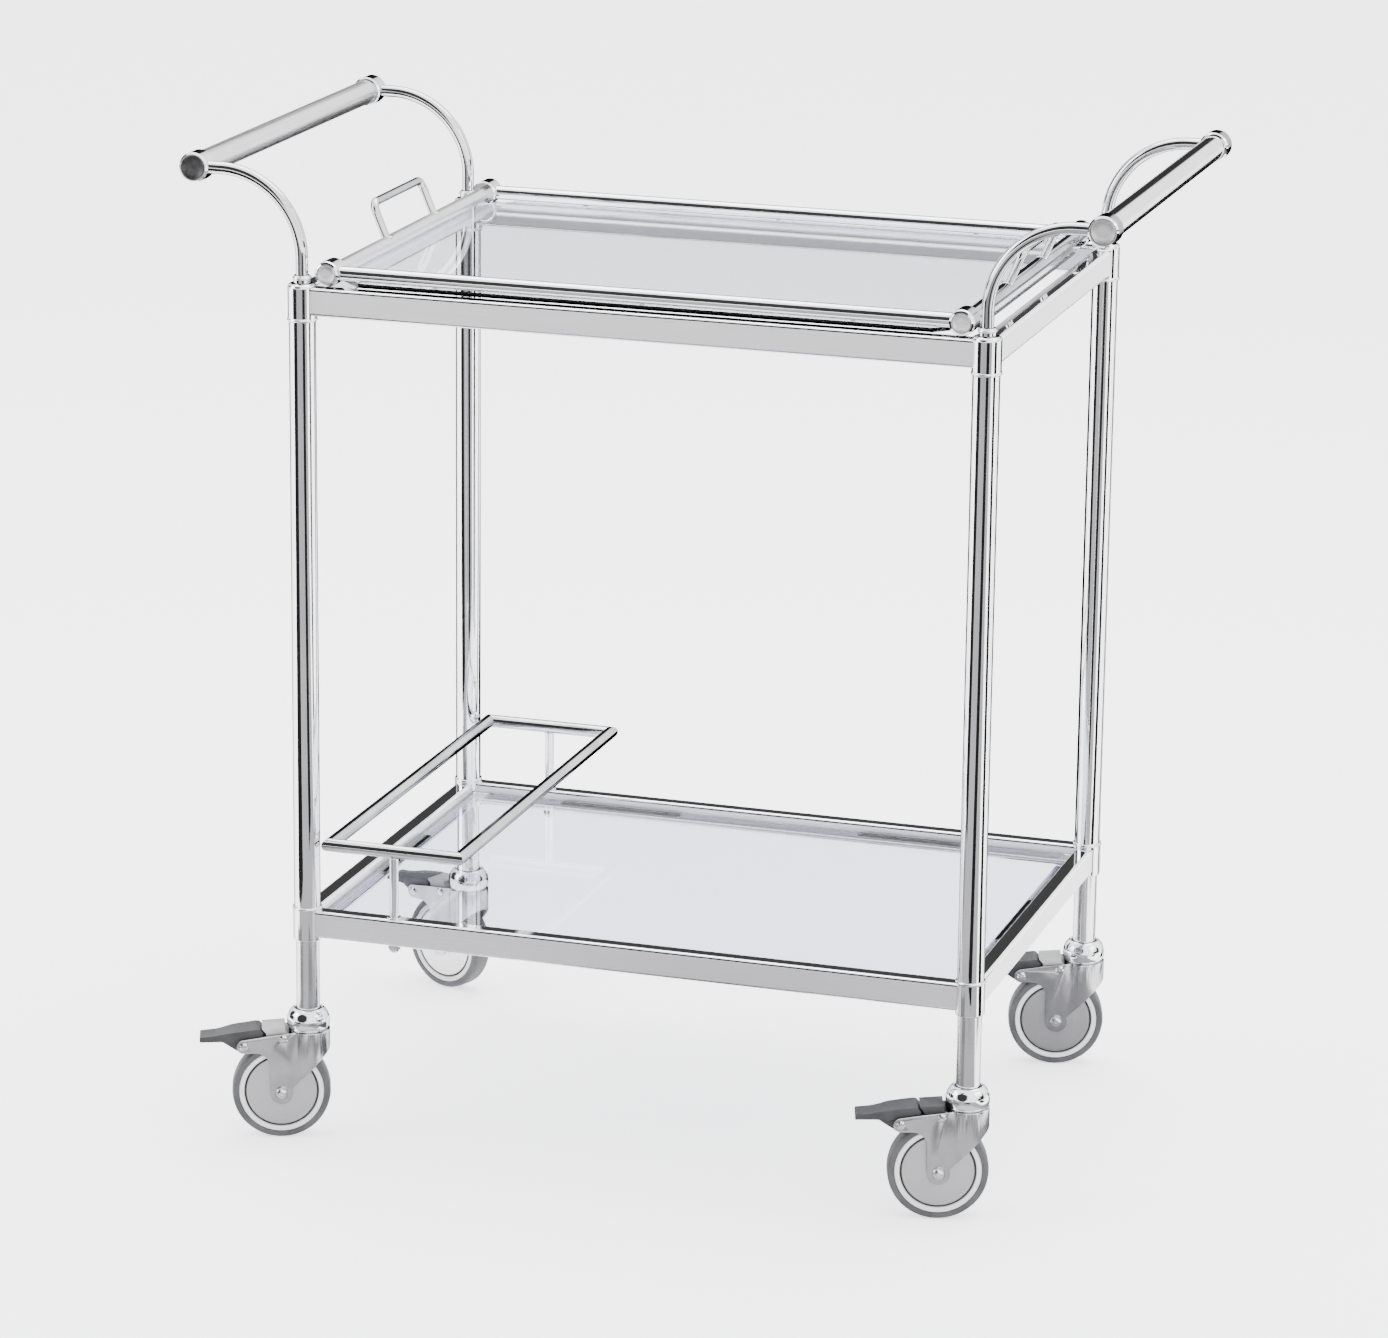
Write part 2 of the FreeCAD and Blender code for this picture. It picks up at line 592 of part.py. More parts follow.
def tyre():
    """Rubber tread ring with rounded shoulders."""
    half = [(TYRE_SEAT_R, 9.4), (TYRE_SEAT_R + 0.8, TYRE_HALF), (42.8, TYRE_HALF), (44.0, 9.6), (44.7, 8.0),
            (WHEEL_R, 5.5)]
    mirrored = [(r, -h) for r, h in reversed(half)]
    return turned(half + mirrored, Vector(-TRAIL, 0, AXLE_Z), Vector(0, 1, 0))


def brake_pedal():
    """Paddle above the brake arms with a boss on the pivot rivet and a lobe over the tyre."""
    x, z = PIVOT
    paddle = side_outline(
        [(-99.0, 97.6), (-85.0, 99.0), (-70.0, 102.4), (-48.0, 105.6), (-44.5, 105.2), (-41.0, 101.2),
         (-43.5, 96.8), (-62.0, 94.8), (-67.5, 94.0), (-76.0, 93.2), (-99.0, 93.0)], 13.5)
    plan = [(-100.0, -11.0), (-80.0, -11.0), (-68.0, -13.5), (-40.0, -13.5),
            (-40.0, 13.5), (-68.0, 13.5), (-80.0, 11.0), (-100.0, 11.0)]
    plan = Part.makePolygon([Vector(px, py, 90.0) for px, py in plan + plan[:1]])
    paddle = paddle.common(Part.Face(plan).extrude(Vector(0, 0, 20.0)))
    end_edges = [e for e in paddle.Edges if e.BoundBox.YLength > 20.0 and e.Length > 20.0]
    paddle = paddle.makeFillet(0.8, [e for e in end_edges if e.BoundBox.ZMax > 96.5])
    boss = pin_y(PIVOT, 11.0, 8.0)
    reach = math.hypot(x + TRAIL, z - AXLE_Z)
    lobe_angle = math.atan2(AXLE_Z - z, -TRAIL - x) - math.radians(PEDAL_TRAVEL)
    lobe_r = reach - WHEEL_R - 0.6
    side_a = lobe_angle - 0.45
    side_b = lobe_angle + 0.45
    lobe = side_outline(
        [(x, z), (x + 8.0 * math.cos(side_a), z + 8.0 * math.sin(side_a)),
         (x + lobe_r * math.cos(lobe_angle), z + lobe_r * math.sin(lobe_angle)),
         (x + 8.0 * math.cos(side_b), z + 8.0 * math.sin(side_b))], 9.0)
    neck = side_outline([(-80.0, 94.0), (-66.5, 85.0), (-59.0, 82.5), (-52.0, 92.0), (-52.0, 96.0)], 10.0)
    pedal = paddle.fuse([boss, lobe, neck])
    return pedal.cut(pin_y(PIVOT, 30.0, RIVET_R + FIT))


def brake_block():
    """Plastic block behind the pedal, held between the fork plates by its rivet."""
    solid = side_outline(
        [(-42.5, 105.9), (-20.8, 107.4), (-20.8, 103.2), (-18.0, 99.6), (-18.0, 93.0), (-34.0, 92.6),
         (-38.6, 96.5), (-38.6, 101.4)], 13.0)
    solid = solid.cut(side_outline([(-21.5, 103.2), (-21.5, 120.0), (-10.0, 120.0), (-10.0, 103.2)], 20.0))
    return solid.cut(pin_y(BLOCK_RIVET, 30.0, RIVET_R))


# ---- write every node ----------------------------------------------------------------------

def group(make):
    """One node made of the same solid at all four posts."""
    return Part.makeCompound([make(x, y) for x, y in CORNERS.values()])


def main():
    """Build and save all nodes."""
    os.makedirs("parts", exist_ok=True)
    for corner, (x, y) in CORNERS.items():
        save(post(x, y), "post_" + corner)
        save(handle_arm(x, y), "handle_arm_" + corner)
    save(group(leg_tube), "leg_tubes")
    save(group(caster_plug), "caster_plugs")
    save(group(lower_sleeve), "lower_sleeves")
    save(group(top_collar), "top_collars")
    for side_name, side in SIDES.items():
        save(rail("x", 0, side * POST_Y, UPPER_RAIL_TOP), "upper_rail_" + side_name)
        save(lower_rail("x", 0, side * POST_Y), "lower_rail_" + side_name)
        save(tray_long_tube(side), "tray_tube_" + side_name)
    for end_name, end in ENDS.items():
        save(rail("y", end * POST_X, 0, UPPER_RAIL_TOP), "upper_rail_" + end_name)
        save(lower_rail("y", end * POST_X, 0), "lower_rail_" + end_name)
        save(tray_end_tube(end), "tray_tube_" + end_name)
        save(tray_handle(end), "tray_handle_" + end_name)
        save(grip(end), "grip_" + end_name)
    save(Part.makeCompound([grip_cap(end, side) for end in ENDS.values() for side in SIDES.values()]),
         "grip_caps")
    save(Part.makeCompound([tray_sleeve(end, side) for end in ENDS.values() for side in SIDES.values()]),
         "tray_corner_sleeves")
    save(shelf_glass(), "shelf_glass")
    save(shelf_pads(), "shelf_pads")
    save(tray_glass(), "tray_glass")
    save(bottle_guard(), "bottle_guard")
    save(Part.makeCompound([guard_stanchion(side * POST_Y) for side in SIDES.values()]), "guard_stanchions")
    save(Part.makeCompound([guard_nut(side * POST_Y) for side in SIDES.values()]), "guard_nuts")
    caster = {
        "caster_fork": fork(), "axle_pins": axle_pins(), "wheel": wheel(), "tyre": tyre(),
        "brake_pedal": brake_pedal(), "brake_block": brake_block(),
    }
    for corner, (x, y) in CORNERS.items():
        for name, shape in caster.items():
            placed = shape.copy()
            placed.rotate(Vector(0, 0, 0), Vector(0, 0, 1), CASTER_TURN[corner])
            placed.translate(Vector(x, y, 0))
            save(placed, name + "_" + corner)


main()
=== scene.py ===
"""Serving trolley on swivel casters: its finishes and small fittings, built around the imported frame.

Metres.  Z is up and the floor is Z = 0.  The origin is on the floor, midway between the four posts.
X runs from the left push handle to the right one, Y from the front to the back.
"""

import json
import math

import bpy
from mathutils import Matrix, Vector


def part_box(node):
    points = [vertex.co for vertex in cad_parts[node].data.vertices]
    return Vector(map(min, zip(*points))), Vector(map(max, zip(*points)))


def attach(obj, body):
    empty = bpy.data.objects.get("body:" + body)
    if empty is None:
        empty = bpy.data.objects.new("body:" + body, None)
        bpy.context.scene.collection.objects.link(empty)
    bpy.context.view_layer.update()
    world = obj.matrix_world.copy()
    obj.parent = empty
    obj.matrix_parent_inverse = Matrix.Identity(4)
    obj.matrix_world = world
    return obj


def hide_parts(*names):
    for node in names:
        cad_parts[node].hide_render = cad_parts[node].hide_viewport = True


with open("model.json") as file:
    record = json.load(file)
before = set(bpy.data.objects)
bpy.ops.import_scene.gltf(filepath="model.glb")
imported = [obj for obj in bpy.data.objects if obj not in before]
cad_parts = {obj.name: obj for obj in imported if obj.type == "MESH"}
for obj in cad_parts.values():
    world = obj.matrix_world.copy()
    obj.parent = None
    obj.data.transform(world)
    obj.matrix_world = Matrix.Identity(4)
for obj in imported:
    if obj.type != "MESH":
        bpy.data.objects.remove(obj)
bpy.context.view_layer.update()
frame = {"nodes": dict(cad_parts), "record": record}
nodes = frame["nodes"]


# ---- posts, collars and sleeves ----------------------------------------------------------------
# Drawn steel tube and zinc castings, buffed together and plated with bright chrome.  The plate is
# a clean mirror with faint clouds from wiping and a barely wavy skin from the buffing wheel.

CORNERS = ("front_left", "front_right", "back_left", "back_right")
CHROME_BRIGHT = (0.90, 0.90, 0.91, 1.0)
CHROME_CLOUDED = (0.80, 0.81, 0.83, 1.0)
# The rod tones are darker than the post tones: painted shade on the bent rods, the guard, the tray's right
# tube and the handle welds.
ROD_SHADED_BRIGHT = (0.70, 0.70, 0.71, 1.0)
ROD_SHADED_CLOUDED = (0.52, 0.525, 0.54, 1.0)


def effect_group(name, inputs, outputs):
    """Empty shader group with float inputs and outputs; returns it with its two end nodes."""
    group = bpy.data.node_groups.new(name, "ShaderNodeTree")
    for label, value in inputs.items():
        socket = group.interface.new_socket(label, in_out="INPUT", socket_type="NodeSocketFloat")
        socket.default_value = value
    for label in outputs:
        group.interface.new_socket(label, in_out="OUTPUT", socket_type="NodeSocketFloat")
    return group, group.nodes.new("NodeGroupInput"), group.nodes.new("NodeGroupOutput")


def cloud_and_grain_group():
    """Soft clouds and fine grains over the whole surface, each from 0 to 1, by size per metre."""
    group, given, result = effect_group(
        "cloud and grain", {"Cloud Size": 12.0, "Grain Size": 500.0}, ("Cloud", "Grain"))
    place = group.nodes.new("ShaderNodeTexCoord")
    for label, detail in (("Cloud", 3.0), ("Grain", 2.0)):
        noise = group.nodes.new("ShaderNodeTexNoise")
        noise.inputs["Detail"].default_value = detail
        group.links.new(place.outputs["Object"], noise.inputs["Vector"])
        group.links.new(given.outputs[label + " Size"], noise.inputs["Scale"])
        group.links.new(noise.outputs["Fac"], result.inputs[label])
    return group


def new_finish(name, metallic, roughness, group, **sizes):
    """Material with its shader and one effect group placed in it with its own values."""
    material = bpy.data.materials.new(name)
    material.use_nodes = True
    shader = material.node_tree.nodes["Principled BSDF"]
    shader.inputs["Metallic"].default_value = metallic
    shader.inputs["Roughness"].default_value = roughness
    effect = material.node_tree.nodes.new("ShaderNodeGroup")
    effect.node_tree = group
    for label, value in sizes.items():
        effect.inputs[label.replace("_", " ")].default_value = value
    return material, shader, effect


def tint(material, shader, mask, colour_low, colour_high):
    """Base colour that runs between two colours with a mask around its middle."""
    ramp = material.node_tree.nodes.new("ShaderNodeValToRGB")
    ramp.color_ramp.elements[0].position = 0.35
    ramp.color_ramp.elements[0].color = colour_low
    ramp.color_ramp.elements[1].position = 0.65
    ramp.color_ramp.elements[1].color = colour_high
    material.node_tree.links.new(mask, ramp.inputs["Fac"])
    material.node_tree.links.new(ramp.outputs["Color"], shader.inputs["Base Color"])
    return ramp


def spread(material, shader, mask, low, high):
    """Roughness that runs from low to high with a mask around its middle."""
    band = material.node_tree.nodes.new("ShaderNodeMapRange")
    band.inputs["From Min"].default_value = 0.3
    band.inputs["From Max"].default_value = 0.7
    band.inputs["To Min"].default_value = low
    band.inputs["To Max"].default_value = high
    material.node_tree.links.new(mask, band.inputs["Value"])
    material.node_tree.links.new(band.outputs["Result"], shader.inputs["Roughness"])


def relief(material, shader, height, depth):
    """Surface relief of a given depth in metres from a height mask."""
    bump = material.node_tree.nodes.new("ShaderNodeBump")
    bump.inputs["Strength"].default_value = 1.0
    bump.inputs["Distance"].default_value = depth
    material.node_tree.links.new(height, bump.inputs["Height"])
    material.node_tree.links.new(bump.outputs["Normal"], shader.inputs["Normal"])


def dress(material, *names):
    """Put one material on frame nodes in place of what they came with."""
    for name in names:
        nodes[name].data.materials.clear()
        nodes[name].data.materials.append(material)


def chrome_finish(name, edge, clouded=CHROME_CLOUDED, bright=CHROME_BRIGHT):
    """Bright plate; edge is the share of its mirror that is left at a grazing look."""
    chrome, shader, effect = new_finish(
        name, 1.0, 0.04, cloud_and_grain, Cloud_Size=14.0, Grain_Size=90.0)
    tint(chrome, shader, effect.outputs["Cloud"], clouded, bright)
    spread(chrome, shader, effect.outputs["Cloud"], 0.03, 0.07)
    relief(chrome, shader, effect.outputs["Grain"], 0.00002)
    shader.inputs["Specular Tint"].default_value = (edge, edge, edge * 1.05, 1.0)
    return chrome


cloud_and_grain = cloud_and_grain_group()
polished_chrome = chrome_finish("polished chrome", 0.06)
# The cross tube and bent rod chromes carry the darker rod tones, which are painted shade.
cross_chrome_shaded = chrome_finish("cross tube chrome with painted shade", 0.4, ROD_SHADED_CLOUDED, ROD_SHADED_BRIGHT)
rod_chrome_shaded = chrome_finish("bent rod chrome with painted shade", 0.1, ROD_SHADED_CLOUDED, ROD_SHADED_BRIGHT)
dress(polished_chrome, *["post_" + corner for corner in CORNERS])
dress(polished_chrome, "lower_sleeves", "top_collars")


# ---- legs ----------------------------------------------------------------------------------------
# The leg tubes below the shelf take the casters.  They are plated like the posts but buffed less,
# so they look a little softer; the plug in each mouth is bare turned steel.

leg_chrome, shader, effect = new_finish(
    "leg chrome", 1.0, 0.15, cloud_and_grain, Cloud_Size=20.0, Grain_Size=260.0)
tint(leg_chrome, shader, effect.outputs["Cloud"], (0.70, 0.70, 0.72, 1.0), (0.80, 0.80, 0.82, 1.0))
spread(leg_chrome, shader, effect.outputs["Cloud"], 0.12, 0.2)
shader.inputs["Specular Tint"].default_value = (0.2, 0.2, 0.21, 1.0)
relief(leg_chrome, shader, effect.outputs["Grain"], 0.00003)
dress(leg_chrome, "leg_tubes")

turned_steel, shader, effect = new_finish(
    "turned steel", 1.0, 0.2, cloud_and_grain, Cloud_Size=60.0, Grain_Size=900.0)
tint(turned_steel, shader, effect.outputs["Cloud"], (0.62, 0.62, 0.63, 1.0), (0.82, 0.82, 0.83, 1.0))
spread(turned_steel, shader, effect.outputs["Grain"], 0.12, 0.26)
relief(turned_steel, shader, effect.outputs["Grain"], 0.00003)
dress(turned_steel, "caster_plugs", *["axle_pins_" + corner for corner in CORNERS])


# ---- rails ---------------------------------------------------------------------------------------
# Rectangular steel tube with rounded edges.  The upright faces are linished along their length
# before plating, so they are paler and softer; the edges and the top keep their bright buffing.

RAIL_DARK = (0.90, 0.89, 0.915, 1.0)
RAIL_PALE = (0.96, 0.95, 0.975, 1.0)
ACROSS = 2400.0             # linish lines per metre across a face
ALONG = 6.0                 # and along it


def linish_group():
    """Fine lines drawn out along one direction, from 0 to 1, by lines per metre on each axis."""
    group, given, result = effect_group(
        "linish lines", {"Lines X": ALONG, "Lines Y": ACROSS, "Lines Z": ACROSS}, ("Line",))
    place = group.nodes.new("ShaderNodeTexCoord")
    sizes = group.nodes.new("ShaderNodeCombineXYZ")
    for axis in "XYZ":
        group.links.new(given.outputs["Lines " + axis], sizes.inputs[axis])
    drawn = group.nodes.new("ShaderNodeVectorMath")
    drawn.operation = "MULTIPLY"
    group.links.new(place.outputs["Object"], drawn.inputs[0])
    group.links.new(sizes.outputs["Vector"], drawn.inputs[1])
    noise = group.nodes.new("ShaderNodeTexNoise")
    noise.inputs["Scale"].default_value = 1.0
    noise.inputs["Detail"].default_value = 2.0
    group.links.new(drawn.outputs["Vector"], noise.inputs["Vector"])
    group.links.new(noise.outputs["Fac"], result.inputs["Line"])
    return group


def buffed_edge_group():
    """0 on the flat upright faces, 1 on the rounded edges and on top, which are left bright."""
    group, given, result = effect_group("buffed edges", {"Flat": 0.99}, ("Edge",))
    facing = group.nodes.new("ShaderNodeNewGeometry")
    size = group.nodes.new("ShaderNodeVectorMath")
    size.operation = "ABSOLUTE"
    group.links.new(facing.outputs["Normal"], size.inputs[0])
    split = group.nodes.new("ShaderNodeSeparateXYZ")
    group.links.new(size.outputs["Vector"], split.inputs["Vector"])
    wide = group.nodes.new("ShaderNodeMath")
    wide.operation = "MAXIMUM"
    group.links.new(split.outputs["X"], wide.inputs[0])
    group.links.new(split.outputs["Y"], wide.inputs[1])
    edge = group.nodes.new("ShaderNodeMath")
    edge.operation = "LESS_THAN"
    group.links.new(wide.outputs["Value"], edge.inputs[0])
    group.links.new(given.outputs["Flat"], edge.inputs[1])
    group.links.new(edge.outputs["Value"], result.inputs["Edge"])
    return group


linish = linish_group()
buffed_edge = buffed_edge_group()
for run, lines, sides in (
    ("long", {"Lines_X": ALONG, "Lines_Y": ACROSS}, ("front", "back")),
    ("end", {"Lines_X": ACROSS, "Lines_Y": ALONG}, ("left", "right")),
):
    satin_chrome, shader, effect = new_finish(
        "satin chrome " + run, 1.0, 0.2, linish, Lines_Z=ACROSS, **lines)
    tint(satin_chrome, shader, effect.outputs["Line"], RAIL_DARK, RAIL_PALE)
    worn = satin_chrome.node_tree.nodes.new("ShaderNodeGroup")
    worn.node_tree = buffed_edge
    spread(satin_chrome, shader, worn.outputs["Edge"], 0.46, 0.05)
    relief(satin_chrome, shader, effect.outputs["Line"], 0.000003)
    for side in sides:
        dress(satin_chrome, "upper_rail_" + side, "lower_rail_" + side)


# ---- lower shelf -----------------------------------------------------------------------------------
# Float glass lying on clear rubber strips along the ledges of the lower rails.  Its ground edges
# show the green of the glass; the faces are clear with a cool cast.

GLASS_EDGE = (0.62, 0.80, 0.74, 1.0)


def glass_finish(name, face, roughness):
    """Clear glass whose side edges are tinted where the surface stops facing up or down."""
    material, glass, effect = new_finish(
        name, 0.0, roughness, cloud_and_grain, Cloud_Size=5.0, Grain_Size=300.0)
    glass.inputs["Transmission Weight"].default_value = 1.0
    glass.inputs["IOR"].default_value = 1.5
    tree = material.node_tree
    facing = tree.nodes.new("ShaderNodeNewGeometry")
    split = tree.nodes.new("ShaderNodeSeparateXYZ")
    tree.links.new(facing.outputs["Normal"], split.inputs["Vector"])
    upright = tree.nodes.new("ShaderNodeMath")
    upright.operation = "ABSOLUTE"
    tree.links.new(split.outputs["Z"], upright.inputs[0])
    ramp = tint(material, glass, upright.outputs["Value"], GLASS_EDGE, face)
    ramp.color_ramp.elements[0].position = 0.2
    ramp.color_ramp.elements[1].position = 0.9
    spread(material, glass, effect.outputs["Cloud"], roughness, roughness + 0.015)
    return material


shelf_glass = glass_finish("shelf glass", (0.80, 0.84, 0.93, 1.0), 0.0)
dress(shelf_glass, "shelf_glass")

clear_rubber, shader, effect = new_finish(
    "clear rubber", 0.0, 0.35, cloud_and_grain, Cloud_Size=40.0, Grain_Size=700.0)
shader.inputs["Transmission Weight"].default_value = 0.7
shader.inputs["IOR"].default_value = 1.43
tint(clear_rubber, shader, effect.outputs["Cloud"], (0.82, 0.84, 0.84, 1.0), (0.92, 0.94, 0.94, 1.0))
spread(clear_rubber, shader, effect.outputs["Grain"], 0.3, 0.45)
dress(clear_rubber, "shelf_pads")


# ---- bottle guard ----------------------------------------------------------------------------------
# Thin chromed tube mitred and welded into a rectangle on two rods.  Each rod passes through a
# flanged washer into its rail and is clamped below by a domed nut.

WASHER_R = 0.0065
WASHER_HEIGHT = 0.0012

# The guard takes the darker rod chrome: painted shade.
dress(rod_chrome_shaded, "bottle_guard")
dress(polished_chrome, "guard_stanchions", "guard_nuts")


def clear_selection():
    """Leave object mode with nothing selected."""
    if bpy.context.object and bpy.context.object.mode != "OBJECT":
        bpy.ops.object.mode_set(mode="OBJECT")
    bpy.ops.object.select_all(action="DESELECT")


def select_faces(piece, chosen):
    """In edit mode, select only the faces whose centre and normal pass the test."""
    bpy.ops.object.mode_set(mode="OBJECT")
    for face in piece.data.polygons:
        face.select = chosen(face.center, face.normal)
    bpy.ops.object.mode_set(mode="EDIT")


def bare_mesh():
    """Enter edit mode on the new primitive with nothing selected."""
    bpy.ops.object.mode_set(mode="EDIT")
    bpy.ops.mesh.select_mode(type="FACE")
    bpy.ops.mesh.select_all(action="DESELECT")


def settle(piece, name, material, body, smooth=30.0):
    """Finish a piece: its place goes into its mesh, then it is named, dressed and set to ride."""
    if piece.mode != "OBJECT":
        bpy.ops.object.mode_set(mode="OBJECT")
    piece.data.transform(piece.matrix_world)
    piece.matrix_world = Matrix.Identity(4)
    clear_selection()
    piece.select_set(True)
    bpy.context.view_layer.objects.active = piece
    bpy.ops.object.shade_smooth_by_angle(angle=math.radians(smooth))
    piece.name = name
    piece.data.name = name
    piece.data.materials.clear()
    piece.data.materials.append(material)
    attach(piece, body)
    return piece


def collar_ring(name, centre, axis, bore, radius, height, edge, material, body):
    """Turned washer or collar: a ring with softened rims, its bore left open."""
    clear_selection()
    turn = Vector((0, 0, 1)).rotation_difference(Vector(axis)).to_euler()
    bpy.ops.mesh.primitive_circle_add(
        vertices=48, radius=radius, fill_type="NGON", location=centre, rotation=turn)
    ring = bpy.context.object
    bare_mesh()
    bpy.ops.mesh.select_all(action="SELECT")
    bpy.ops.mesh.inset(thickness=radius - bore)
    bpy.ops.mesh.delete(type="ONLY_FACE")
    bpy.ops.mesh.select_all(action="SELECT")
    bpy.ops.object.mode_set(mode="OBJECT")
    solid = ring.modifiers.new("thickness", "SOLIDIFY")
    solid.thickness = height
    solid.offset = 0.0
    bpy.ops.object.modifier_apply(modifier=solid.name)
    rim = ring.modifiers.new("rims", "BEVEL")
    rim.width = edge
    rim.segments = 3
    rim.limit_method = "ANGLE"
    bpy.ops.object.modifier_apply(modifier=rim.name)
    return settle(ring, name, material, body)


rod_low, rod_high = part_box("guard_stanchions")
rod_r = (rod_high.x - rod_low.x) / 2
rail_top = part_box("lower_rail_front")[1].z
for side, rod_y in (("front", rod_low.y + rod_r), ("back", rod_high.y - rod_r)):
    collar_ring(
        "stanchion_washer_" + side,
        (rod_low.x + rod_r, rod_y, rail_top + WASHER_HEIGHT / 2 + 0.00005),
        (0, 0, 1), rod_r + 0.0001, WASHER_R, WASHER_HEIGHT, 0.0004,
        polished_chrome, "frame")


def weld_ring(name, centre, axis, radius, bead, material, body):
    """Small fused bead where a rod meets a tube, a little flattened onto the tube."""
    clear_selection()
    turn = Vector((0, 0, 1)).rotation_difference(Vector(axis)).to_euler()
    bpy.ops.mesh.primitive_torus_add(
        location=centre, rotation=turn, major_radius=radius, minor_radius=bead,
        major_segments=40, minor_segments=10)
    ring = bpy.context.object
    bpy.ops.transform.resize(value=(1.0, 1.0, 0.8), orient_type="LOCAL")
    return settle(ring, name, material, body, smooth=60.0)


guard_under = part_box("bottle_guard")[0].z
for side, rod_y in (("front", rod_low.y + rod_r), ("back", rod_high.y - rod_r)):
    weld_ring("stanchion_weld_" + side, (rod_low.x + rod_r, rod_y, guard_under + 0.0004), (0, 0, 1),
              rod_r + 0.0002, 0.0009, polished_chrome, "frame")


# ---- push handles ------------------------------------------------------------------------------------
# Bent chromed tube arms run into die-cast end caps on a wide grip tube.  A dished disc is pressed
# into the recess of each cap; the grips are buffed softer where hands polish them.

DISC_GAP = 0.0001           # between a disc and the wall of its recess

dress(polished_chrome, "grip_caps")
# The handle arms take the darker rod chrome: painted shade.
dress(rod_chrome_shaded, *["handle_arm_" + corner for corner in CORNERS])

# The left grip is satin and darker in tone than the polished right grip: its softer buff is real, its darker
# tone is painted shade.
grip_chromes_lit_and_shaded = {}
for end, low, high, dull, bright in (("left", 0.55, 0.68, 0.24, 0.32), ("right", 0.8, 0.9, 0.05, 0.09)):
    grip_chrome, shader, effect = new_finish(
        "grip chrome lit and shaded " + end, 1.0, dull, linish, Lines_X=ACROSS, Lines_Y=ALONG, Lines_Z=ACROSS)
    tint(grip_chrome, shader, effect.outputs["Line"], (low, low, low, 1.0), (high, high, high, 1.0))
    spread(grip_chrome, shader, effect.outputs["Line"], dull, bright)
    relief(grip_chrome, shader, effect.outputs["Line"], 0.000003)
    shader.inputs["Specular Tint"].default_value = (0.7, 0.7, 0.72, 1.0)
    dress(grip_chrome, "grip_" + end)
    grip_chromes_lit_and_shaded[end] = grip_chrome


def disc_finish(name, low, high, grain):
    """Brushed metal disc between two greys, with its own grain depth in metres."""
    metal, shader, effect = new_finish(name, 1.0, 0.3, cloud_and_grain, Cloud_Size=150.0, Grain_Size=1800.0)
    tint(metal, shader, effect.outputs["Cloud"], (low, low, low, 1.0), (high, high, high * 1.02, 1.0))
    spread(metal, shader, effect.outputs["Grain"], 0.24, 0.4)
    relief(metal, shader, effect.outputs["Grain"], grain)
    return metal


grey_disc = disc_finish("grey disc", 0.5, 0.6, 0.00003)
# The front left cap disc is made dark while the other cap discs are grey: painted shade.
painted_shade_disc = disc_finish("painted shade disc", 0.05, 0.10, 0.0001)


def pressed_disc(name, centre, outward, radius, thickness, material, body):
    """Disc pressed into a recess: bevelled rim, shallow dish and a small raised middle."""
    clear_selection()
    turn = Vector((0, 0, 1)).rotation_difference(Vector(outward)).to_euler()
    bpy.ops.mesh.primitive_cylinder_add(
        vertices=64, radius=radius, depth=thickness, location=centre, rotation=turn)
    disc = bpy.context.object
    bare_mesh()
    select_faces(disc, lambda middle, normal: normal.z > 0.9)
    bpy.ops.mesh.inset(thickness=radius * 0.05, depth=0.0)
    bpy.ops.mesh.inset(thickness=radius * 0.05, depth=-thickness * 0.22)
    bpy.ops.mesh.inset(thickness=radius * 0.42, depth=-thickness * 0.10)
    bpy.ops.mesh.inset(thickness=radius * 0.30, depth=thickness * 0.06)
    bpy.ops.mesh.select_all(action="DESELECT")
    bpy.ops.object.mode_set(mode="OBJECT")
    rim = disc.modifiers.new("rim", "BEVEL")
    rim.width = thickness * 0.25
    rim.segments = 3
    rim.limit_method = "ANGLE"
    rim.angle_limit = math.radians(60)
    bpy.ops.object.modifier_apply(modifier=rim.name)
    return settle(disc, name, material, body)


CAP_DISC_R = 0.0104
CAP_DISC_THICK = 0.001
CAP_RECESS = 0.0012         # wall of a cap set in from its rim
cap_low, cap_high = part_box("grip_caps")
cap_r = (cap_high.z - cap_low.z) / 2
cap_z = cap_low.z + cap_r
recess = CAP_RECESS - CAP_DISC_THICK / 2 - DISC_GAP
# The front left disc takes the dark disc finish, which is painted shade; the others are grey.
for end, cap_x in (("left", cap_low.x + cap_r), ("right", cap_high.x - cap_r)):
    for side, face_y, outward in (
        ("front", cap_low.y + recess, (0, -1, 0)),
        ("back", cap_high.y - recess, (0, 1, 0)),
    ):
        pressed_disc("grip_disc_" + side + "_" + end, (cap_x, face_y, cap_z), outward,
                     CAP_DISC_R, CAP_DISC_THICK,
                     painted_shade_disc if (side, end) == ("front", "left") else grey_disc, "frame")


# ---- lift-off tray -----------------------------------------------------------------------------------
# Chromed tubes set in four corner sleeves over a glass base with its corners cut off.  A bright
# disc closes each sleeve, weld beads hold the bent rod handles, and clear pads part tube and glass.

dress(polished_chrome, "tray_tube_front", "tray_tube_back", "tray_corner_sleeves")
# The right tray tube takes the darker cross tube chrome and the left one the darker left grip finish, unlike
# the front and back tubes: painted shade.
dress(cross_chrome_shaded, "tray_tube_right")
dress(grip_chromes_lit_and_shaded["left"], "tray_tube_left")
# The tray handles take the darker rod chrome: painted shade.
dress(rod_chrome_shaded, "tray_handle_left", "tray_handle_right")
tray_glass = glass_finish("tray glass", (0.92, 0.935, 0.99, 1.0), 0.0)
dress(tray_glass, "tray_glass")

sleeve_metal = disc_finish("sleeve disc", 0.74, 0.86, 0.00003)

